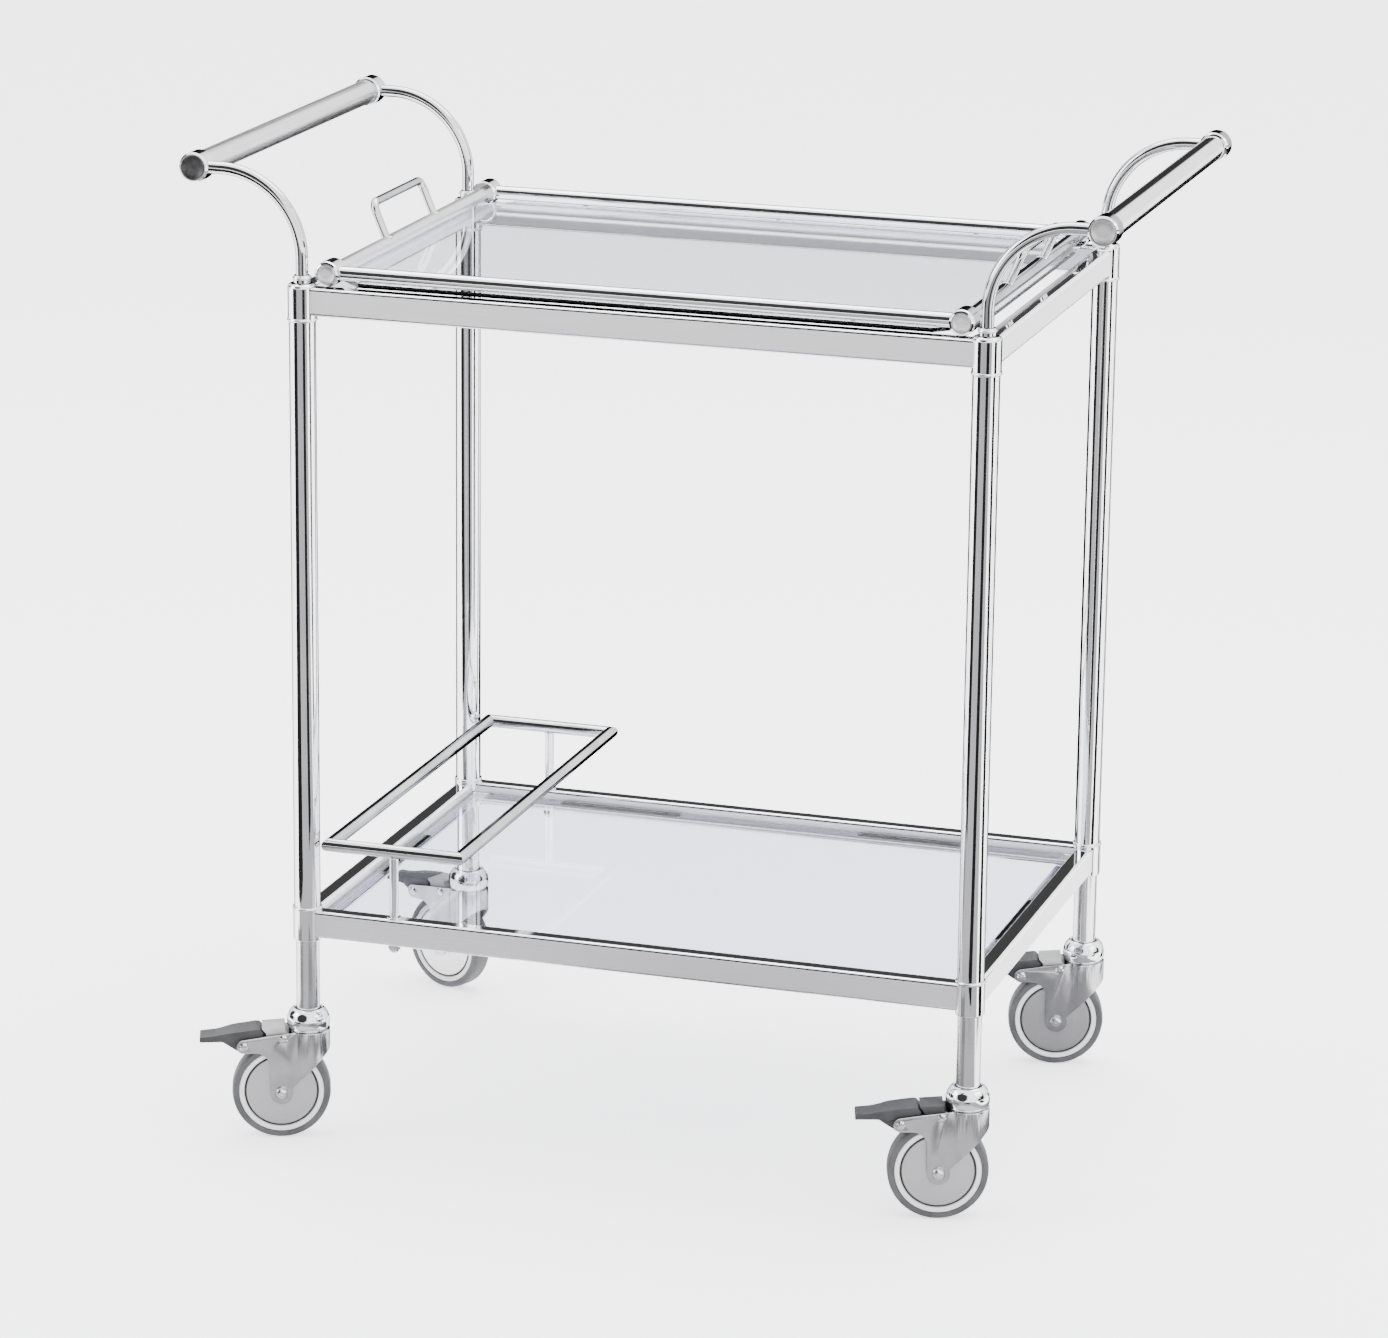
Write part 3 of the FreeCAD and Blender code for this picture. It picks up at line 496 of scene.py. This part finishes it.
SLEEVE_DISC_R = 0.0079
SLEEVE_DISC_THICK = 0.0007
SLEEVE_RECESS = 0.0008
sleeve_low, sleeve_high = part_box("tray_corner_sleeves")
sleeve_r = (sleeve_high.z - sleeve_low.z) / 2
sleeve_z = sleeve_low.z + sleeve_r
recess = SLEEVE_RECESS - SLEEVE_DISC_THICK / 2 - 0.00005
for end, sleeve_x in (("left", sleeve_low.x + sleeve_r), ("right", sleeve_high.x - sleeve_r)):
    for side, face_y, outward in (
        ("front", sleeve_low.y + recess, (0, -1, 0)),
        ("back", sleeve_high.y - recess, (0, 1, 0)),
    ):
        pressed_disc("tray_disc_" + side + "_" + end, (sleeve_x, face_y, sleeve_z), outward,
                     SLEEVE_DISC_R, SLEEVE_DISC_THICK, sleeve_metal, "tray")


HANDLE_R = 0.00375
HANDLE_HALF = 0.061         # a handle's feet from the middle of its tube
tube_r = (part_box("tray_tube_front")[1].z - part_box("tray_tube_front")[0].z) / 2
tube_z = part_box("tray_tube_front")[0].z + tube_r
tube_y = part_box("tray_tube_back")[0].y + tube_r
for end in ("left", "right"):
    tube_low, tube_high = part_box("tray_tube_" + end)
    middle_x = (tube_low.x + tube_high.x) / 2
    for side, foot in (("front", -HANDLE_HALF), ("back", HANDLE_HALF)):
        # The welds take the darker cross tube chrome: painted shade.
        weld_ring("handle_weld_" + side + "_" + end, (middle_x, foot, tube_z + tube_r - 0.0006),
                  (0, 0, 1), HANDLE_R + 0.0003, 0.0011, cross_chrome_shaded, "tray")


def glass_pad(name, place, radius, height):
    """Clear stick-on bumper between the tray's glass and a tube, its top edge rounded."""
    clear_selection()
    bpy.ops.mesh.primitive_cylinder_add(vertices=24, radius=radius, depth=height, location=place)
    pad = bpy.context.object
    rim = pad.modifiers.new("rim", "BEVEL")
    rim.width = height * 0.35
    rim.segments = 3
    rim.limit_method = "ANGLE"
    bpy.ops.object.modifier_apply(modifier=rim.name)
    return settle(pad, name, clear_rubber, "tray", smooth=40.0)


PAD_R = 0.0024
PAD_HEIGHT = 0.0009
pad_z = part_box("tray_glass")[1].z + PAD_HEIGHT / 2 + 0.00002
for index, (pad_x, pad_y) in enumerate(
    [(x, side * tube_y) for x in (-0.19, 0.0, 0.19) for side in (-1, 1)]
    + [(end * middle_x, y) for end in (-1, 1) for y in (-0.1, 0.1)]
):
    glass_pad("tray_glass_pad_%d" % (index + 1), (pad_x, pad_y, pad_z), PAD_R, PAD_HEIGHT)


# ---- casters: forks --------------------------------------------------------------------------------
# Pressed steel forks, zinc plated: matt grey side plates with the sheared edges rolled over, and a
# nose and bearing cover drawn bright over the punch.

ZINC_DARK = (0.42, 0.42, 0.43, 1.0)
ZINC_PALE = (0.50, 0.50, 0.51, 1.0)


def polished_above_group():
    """0 below a height on the fork and 1 above it, where the bearing cover was buffed."""
    group, given, result = effect_group("polished above", {"From": 0.101, "To": 0.104}, ("Above",))
    place = group.nodes.new("ShaderNodeTexCoord")
    split = group.nodes.new("ShaderNodeSeparateXYZ")
    group.links.new(place.outputs["Object"], split.inputs["Vector"])
    step = group.nodes.new("ShaderNodeMapRange")
    group.links.new(split.outputs["Z"], step.inputs["Value"])
    group.links.new(given.outputs["From"], step.inputs["From Min"])
    group.links.new(given.outputs["To"], step.inputs["From Max"])
    group.links.new(step.outputs["Result"], result.inputs["Above"])
    return group


zinc_plate, shader, effect = new_finish(
    "zinc plate", 1.0, 0.36, cloud_and_grain, Cloud_Size=70.0, Grain_Size=1500.0)
plate = tint(zinc_plate, shader, effect.outputs["Cloud"], ZINC_DARK, ZINC_PALE)
cover = zinc_plate.node_tree.nodes.new("ShaderNodeGroup")
cover.node_tree = polished_above_group()
bright = zinc_plate.node_tree.nodes.new("ShaderNodeMix")
bright.data_type = "RGBA"
bright.inputs["B"].default_value = CHROME_CLOUDED
zinc_plate.node_tree.links.new(cover.outputs["Above"], bright.inputs["Factor"])
zinc_plate.node_tree.links.new(plate.outputs["Color"], bright.inputs["A"])
zinc_plate.node_tree.links.new(bright.outputs["Result"], shader.inputs["Base Color"])
spread(zinc_plate, shader, cover.outputs["Above"], 0.2, 0.05)
shader.inputs["Specular Tint"].default_value = (0.3, 0.3, 0.31, 1.0)
relief(zinc_plate, shader, effect.outputs["Grain"], 0.00002)


def eased_copy(source, name, width, segments, sharp, material, body):
    """Copy of a frame node with its sharp edges rolled over; it stands for that node."""
    clear_selection()
    piece = bpy.data.objects.new(name, nodes[source].data.copy())
    bpy.context.scene.collection.objects.link(piece)
    piece.select_set(True)
    bpy.context.view_layer.objects.active = piece
    bpy.ops.mesh.customdata_custom_splitnormals_clear()
    bpy.ops.object.mode_set(mode="EDIT")
    bpy.ops.mesh.select_all(action="SELECT")
    bpy.ops.mesh.remove_doubles(threshold=0.000002)
    bpy.ops.mesh.dissolve_limited(angle_limit=math.radians(0.5))
    bpy.ops.object.mode_set(mode="OBJECT")
    edges = piece.modifiers.new("edges", "BEVEL")
    edges.width = width
    edges.segments = segments
    edges.limit_method = "ANGLE"
    edges.angle_limit = math.radians(sharp)
    edges.use_clamp_overlap = True
    bpy.ops.object.modifier_apply(modifier=edges.name)
    settle(piece, name, material, body, smooth=sharp)
    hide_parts(source)
    return piece


for corner in CORNERS:
    eased_copy("caster_fork_" + corner, "pressed_fork_" + corner, 0.0005, 2, 32.0,
               zinc_plate, "caster_" + corner)


# ---- casters: wheels -------------------------------------------------------------------------------
# Steel disc covers on a plastic core with a grey rubber tyre.  A dark ring seals each cover and a
# thin washer keeps the hub off each side of the fork.

ring_rubber, shader, effect = new_finish(
    "dark ring rubber", 0.0, 0.5, cloud_and_grain, Cloud_Size=60.0, Grain_Size=900.0)
tint(ring_rubber, shader, effect.outputs["Cloud"], (0.012, 0.012, 0.013, 1.0), (0.03, 0.03, 0.032, 1.0))
spread(ring_rubber, shader, effect.outputs["Grain"], 0.4, 0.6)
relief(ring_rubber, shader, effect.outputs["Grain"], 0.00003)

tyre_rubber, shader, effect = new_finish(
    "grey tyre rubber", 0.0, 0.6, cloud_and_grain, Cloud_Size=45.0, Grain_Size=1300.0)
tint(tyre_rubber, shader, effect.outputs["Cloud"], (0.045, 0.045, 0.048, 1.0), (0.068, 0.068, 0.072, 1.0))
spread(tyre_rubber, shader, effect.outputs["Grain"], 0.5, 0.72)
relief(tyre_rubber, shader, effect.outputs["Grain"], 0.00006)
dress(tyre_rubber, *["tyre_" + corner for corner in CORNERS])

DISC_EDGE_R = 0.0341        # steel cover inside this radius, plastic ring outside it
COVER_DARK = (0.52, 0.52, 0.53, 1.0)
COVER_PALE = (0.70, 0.70, 0.71, 1.0)
RING_GREY = (0.60, 0.60, 0.605, 1.0)
joints = {joint["name"]: joint for joint in frame["record"]["behaviour"]["joints"]}


def wheel_zones_group():
    """From the axle outwards: how far from its centre, fine turned lines and cover (1) or ring (0)."""
    group, given, result = effect_group(
        "wheel zones", {"Edge": DISC_EDGE_R, "Lines": 5200.0}, ("Turned", "Cover"))
    group.interface.new_socket("Place", in_out="INPUT", socket_type="NodeSocketVector")
    reach = group.nodes.new("ShaderNodeVectorMath")
    reach.operation = "LENGTH"
    group.links.new(given.outputs["Place"], reach.inputs[0])
    rings = group.nodes.new("ShaderNodeMath")
    rings.operation = "MULTIPLY"
    group.links.new(reach.outputs["Value"], rings.inputs[0])
    group.links.new(given.outputs["Lines"], rings.inputs[1])
    wave = group.nodes.new("ShaderNodeTexNoise")
    wave.noise_dimensions = "1D"
    wave.inputs["Scale"].default_value = 1.0
    group.links.new(rings.outputs["Value"], wave.inputs["W"])
    group.links.new(wave.outputs["Fac"], result.inputs["Turned"])
    inside = group.nodes.new("ShaderNodeMath")
    inside.operation = "LESS_THAN"
    group.links.new(reach.outputs["Value"], inside.inputs[0])
    group.links.new(given.outputs["Edge"], inside.inputs[1])
    group.links.new(inside.outputs["Value"], result.inputs["Cover"])
    return group


wheel_zones = wheel_zones_group()


def wheel_finish(corner):
    """Steel covers inside and grey plastic outside, measured from this wheel's own axle."""
    material, shader, effect = new_finish("wheel core " + corner, 0.0, 0.35, wheel_zones)
    tree = material.node_tree
    spin = joints["wheel_spin_" + corner]
    place = tree.nodes.new("ShaderNodeTexCoord")
    centre = tree.nodes.new("ShaderNodeMapping")
    centre.vector_type = "TEXTURE"
    centre.inputs["Location"].default_value = spin["pos_m"]
    tree.links.new(place.outputs["Object"], centre.inputs["Vector"])
    tree.links.new(centre.outputs["Vector"], effect.inputs["Place"])
    steel = tint(material, shader, effect.outputs["Turned"], COVER_DARK, COVER_PALE)
    zone = tree.nodes.new("ShaderNodeMix")
    zone.data_type = "RGBA"
    zone.inputs["A"].default_value = RING_GREY
    tree.links.new(effect.outputs["Cover"], zone.inputs["Factor"])
    tree.links.new(steel.outputs["Color"], zone.inputs["B"])
    tree.links.new(zone.outputs["Result"], shader.inputs["Base Color"])
    tree.links.new(effect.outputs["Cover"], shader.inputs["Metallic"])
    spread(material, shader, effect.outputs["Turned"], 0.24, 0.4)
    relief(material, shader, effect.outputs["Turned"], 0.00001)
    return material


MOUTH_R = 0.0121            # throat of the bearing cover round the leg tube
for corner in CORNERS:
    swivel = joints["swivel_" + corner]["pos_m"]
    cover_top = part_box("caster_fork_" + corner)[1].z
    collar_ring("race_seal_" + corner, (swivel[0], swivel[1], cover_top - 0.0016), (0, 0, 1),
                0.0109, MOUTH_R, 0.0012, 0.0003, ring_rubber, "caster_" + corner)

SEAL_R = 0.0332             # dark ring in the groove of each cover
SEAL_THICK = 0.0006
SEAL_OUT = 0.0084
WASHER_OUT = 0.0134         # middle of each hub washer, from the wheel's middle
for corner in CORNERS:
    dress(wheel_finish(corner), "wheel_" + corner)
    spin = joints["wheel_spin_" + corner]
    axle = Vector(spin["pos_m"])
    across = Vector(spin["axis"])
    turn = Vector((0, 0, 1)).rotation_difference(across).to_euler()
    for side, out in (("outer", -1), ("inner", 1)):
        clear_selection()
        bpy.ops.mesh.primitive_torus_add(
            location=axle + across * out * SEAL_OUT, rotation=turn, major_radius=SEAL_R,
            minor_radius=SEAL_THICK, major_segments=96, minor_segments=8)
        settle(bpy.context.object, "cover_seal_" + side + "_" + corner, ring_rubber,
               "wheel_body_" + corner, smooth=60.0)
        collar_ring("hub_washer_" + side + "_" + corner, axle + across * out * WASHER_OUT, across,
                    0.0042, 0.0085, 0.0009, 0.0002, turned_steel, "caster_" + corner)


# ---- casters: brakes -------------------------------------------------------------------------------
# Moulded pedals and blocks of filled nylon with a fine spark-eroded grain and rounded edges.

# The dark pedal plastic is the pedals' own colour, and on the front right block it is painted shade.
pedal_plastic_and_block_shade, shader, effect = new_finish(
    "dark pedal plastic and block shade", 0.0, 0.5, cloud_and_grain, Cloud_Size=50.0, Grain_Size=1600.0)
tint(pedal_plastic_and_block_shade, shader, effect.outputs["Cloud"], (0.020, 0.020, 0.022, 1.0), (0.032, 0.032, 0.035, 1.0))
spread(pedal_plastic_and_block_shade, shader, effect.outputs["Grain"], 0.42, 0.58)
relief(pedal_plastic_and_block_shade, shader, effect.outputs["Grain"], 0.00006)
block_plastic, shader, effect = new_finish(
    "pale block plastic", 0.0, 0.45, cloud_and_grain, Cloud_Size=50.0, Grain_Size=1600.0)
tint(block_plastic, shader, effect.outputs["Cloud"], (0.30, 0.30, 0.30, 1.0), (0.37, 0.37, 0.37, 1.0))
spread(block_plastic, shader, effect.outputs["Grain"], 0.4, 0.55)
relief(block_plastic, shader, effect.outputs["Grain"], 0.00005)

for corner in CORNERS:
    eased_copy("brake_pedal_" + corner, "moulded_pedal_" + corner, 0.0009, 3, 25.0,
               pedal_plastic_and_block_shade, "brake_" + corner)
    # The front right block takes the dark pedal plastic in place of the pale block plastic: painted shade.
    eased_copy("brake_block_" + corner, "moulded_block_" + corner, 0.0007, 3, 25.0,
               pedal_plastic_and_block_shade if corner == "front_right" else block_plastic,
               "caster_" + corner)


# ---- floor, light and camera ---------------------------------------------------------------------------
# A plain pale floor under soft studio light.  Dark sheets on the floor and dark patches in the sky
# show only in reflections; without them chrome in a white room would have no edges.

VIEW_TURN = math.radians(17.56)
VIEW_TILT = math.radians(15.72)
VIEW_ROLL = math.radians(0.65)


def stage_material(name, colour, glow=0.0):
    """Plain matt material for the stage."""
    material = bpy.data.materials.new(name)
    material.use_nodes = True
    shader = material.node_tree.nodes["Principled BSDF"]
    shader.inputs["Base Color"].default_value = colour
    shader.inputs["Roughness"].default_value = 0.9
    shader.inputs["Specular IOR Level"].default_value = 0.0
    shader.inputs["Emission Color"].default_value = colour
    shader.inputs["Emission Strength"].default_value = glow
    return material


def stage_plane(name, centre, size, turn, material):
    """Flat stage board of a given width and height."""
    clear_selection()
    bpy.ops.mesh.primitive_plane_add(size=1.0, location=centre, rotation=turn)
    board = bpy.context.object
    board.scale = (size[0], size[1], 1.0)
    board.name = name
    board.data.materials.append(material)
    return board


def floor_fan(name, start, turn, near, far, near_width, far_width, lift, material):
    """Flat sheet on the floor that widens away from the trolley; it shows in reflections only."""
    clear_selection()
    outward = Vector((math.sin(turn), -math.cos(turn), 0))
    origin = Vector((*start, lift))
    middle = origin + outward * (near + far) / 2
    bpy.ops.mesh.primitive_plane_add(size=1.0, location=middle, rotation=(0, 0, turn))
    sheet = bpy.context.object
    bpy.ops.transform.resize(value=(near_width, far - near, 1.0), orient_type="LOCAL")
    bare_mesh()
    bpy.ops.mesh.select_mode(type="VERT")
    bpy.ops.object.mode_set(mode="OBJECT")
    for corner in sheet.data.vertices:
        corner.select = corner.co.y < 0
    bpy.ops.object.mode_set(mode="EDIT")
    bpy.ops.transform.resize(value=(far_width / near_width,) * 2 + (1.0,), orient_type="LOCAL",
                             constraint_axis=(True, False, False), center_override=origin + outward * far)
    bpy.ops.object.mode_set(mode="OBJECT")
    sheet.name = name
    sheet.data.materials.append(material)
    sheet.visible_camera = False
    sheet.visible_diffuse = False
    sheet.visible_shadow = False
    sheet.visible_transmission = False


stage_plane("floor", (0, 0, 0), (60, 60), (0, 0, 0), stage_material("pale floor", (0.86, 0.86, 0.87, 1), 2.0))
black = stage_material("flag black", (0.006, 0.006, 0.006, 1))
grey = stage_material("flag grey", (0.22, 0.217, 0.225, 1))
dim = stage_material("flag dim", (0.10, 0.10, 0.10, 1))
pale = stage_material("flag pale", (0.42, 0.415, 0.425, 1))
POST_X = 0.311              # posts and legs stand this far from the middle
POST_Y = 0.213
FAR = 6.0                   # where the long sheets end
LEG_FAR = 0.6               # where the short ones beside each leg end
LOWEST, LOW, HIGH = 0.0006, 0.001, 0.002    # heights that keep overlapping sheets apart
MIDDLE = (0.0, 0.0)
RIGHT = (POST_X, 0.0)
for name, start, angle, opening, near, near_width, far, lift, colour in (
    ("flag_front", (-0.15, 0), -5, 80, 0.25, 1.15, FAR, LOWEST, grey),
    ("flag_back", RIGHT, 192.5, 85, 0.75, 1.37, FAR, HIGH, black),
    ("flag_back_right_line", RIGHT, 130, 15, 0.42, 0.13, FAR, HIGH, black),
    ("flag_left_line", MIDDLE, -60, 30, 1.05, 0.56, FAR, HIGH, black),
    ("flag_middle_line", MIDDLE, 8, 20, 0.9, 0.32, FAR, HIGH, black),
    ("flag_right_line", MIDDLE, 64, 20, 0.8, 0.28, FAR, HIGH, black),
    ("flag_wheel_front_left", (-POST_X, -0.19), -10, 50, 0.01, 0.26, 0.3, LOW, pale),
    ("flag_wheel_front_right", (POST_X, -0.19), -10, 50, 0.01, 0.26, 0.3, LOW, pale),
    ("flag_wheel_back_right", (POST_X, 0.236), -10, 50, 0.01, 0.26, 0.45, LOW, grey),
    ("flag_leg_front_left", (-POST_X, -POST_Y), -62, 34, 0.28, 0.17, LEG_FAR, HIGH, dim),
    ("flag_leg_front_right", (POST_X, -POST_Y), -62, 34, 0.28, 0.17, LEG_FAR, HIGH, dim),
    ("flag_leg_back_right", (POST_X, POST_Y), -62, 34, 0.28, 0.17, LEG_FAR, HIGH, dim),
):
    floor_fan(name, start, VIEW_TURN + math.radians(angle), near, far, near_width,
              2 * far * math.tan(math.radians(opening / 2)), lift, colour)


def softbox(name, place, aim, size, power):
    """Rectangular soft light aimed at a point."""
    lamp = bpy.data.lights.new(name, "AREA")
    lamp.shape = "RECTANGLE"
    lamp.size, lamp.size_y = size
    lamp.energy = power
    lit = bpy.data.objects.new(name, lamp)
    lit.location = place
    lit.rotation_euler = (Vector(aim) - Vector(place)).to_track_quat("-Z", "Y").to_euler()
    bpy.context.scene.collection.objects.link(lit)


softbox("overhead_softbox", (0.0, 0.9, 3.4), (0, 0, 0.5), (3.6, 2.4), 120.0)
softbox("left_softbox", (-3.4, -1.6, 2.2), (0, 0, 0.5), (2.2, 2.2), 90.0)
softbox("right_softbox", (3.4, -0.4, 2.2), (0, 0, 0.5), (2.2, 2.2), 60.0)

room = bpy.data.worlds.new("studio")
bpy.context.scene.world = room
room.use_nodes = True
links = room.node_tree.links
sky = room.node_tree.nodes["Background"]
direction = room.node_tree.nodes.new("ShaderNodeTexCoord")
BEHIND = math.pi / 2 + VIEW_TURN    # bearing of the far side, from +X towards +Y
PATCH_DARK = 0.02
shade = None
for turn, lift, soft, hard in (
    (BEHIND, 14, 0.955, 0.975),
    (-BEHIND, 26, 0.86, 0.90),
    (0.0, 14, 0.9, 0.94),
    (math.pi, 14, 0.9, 0.94),
):
    level = math.cos(math.radians(lift))
    patch = room.node_tree.nodes.new("ShaderNodeVectorMath")
    patch.operation = "DOT_PRODUCT"
    patch.inputs[1].default_value = (
        level * math.cos(turn), level * math.sin(turn), math.sin(math.radians(lift)))
    links.new(direction.outputs["Generated"], patch.inputs[0])
    fade = room.node_tree.nodes.new("ShaderNodeMapRange")
    fade.inputs["From Min"].default_value = soft
    fade.inputs["From Max"].default_value = hard
    fade.inputs["To Min"].default_value = 1.0
    fade.inputs["To Max"].default_value = PATCH_DARK
    links.new(patch.outputs["Value"], fade.inputs["Value"])
    if shade is None:
        shade = fade.outputs["Result"]
    else:
        both = room.node_tree.nodes.new("ShaderNodeMath")
        both.operation = "MULTIPLY"
        links.new(shade, both.inputs[0])
        links.new(fade.outputs["Result"], both.inputs[1])
        shade = both.outputs["Value"]
seen = room.node_tree.nodes.new("ShaderNodeLightPath")
choice = room.node_tree.nodes.new("ShaderNodeMix")
choice.data_type = "RGBA"
choice.inputs["B"].default_value = (1.0, 1.0, 1.0, 1.0)
links.new(seen.outputs["Is Camera Ray"], choice.inputs["Factor"])
links.new(shade, choice.inputs["A"])
links.new(choice.outputs["Result"], sky.inputs["Color"])
sky.inputs["Strength"].default_value = 3.2

lens = bpy.data.cameras.new("camera")
lens.sensor_width = 36.0
lens.lens = 141.7
camera = bpy.data.objects.new("camera", lens)
camera.location = (1.4421, -4.5991, 1.7723)
camera.rotation_euler = (
    Matrix.Rotation(VIEW_TURN, 3, "Z")
    @ Matrix.Rotation(math.pi / 2 - VIEW_TILT, 3, "X")
    @ Matrix.Rotation(VIEW_ROLL, 3, "Z")
).to_euler()
bpy.context.scene.collection.objects.link(camera)
bpy.context.scene.camera = camera
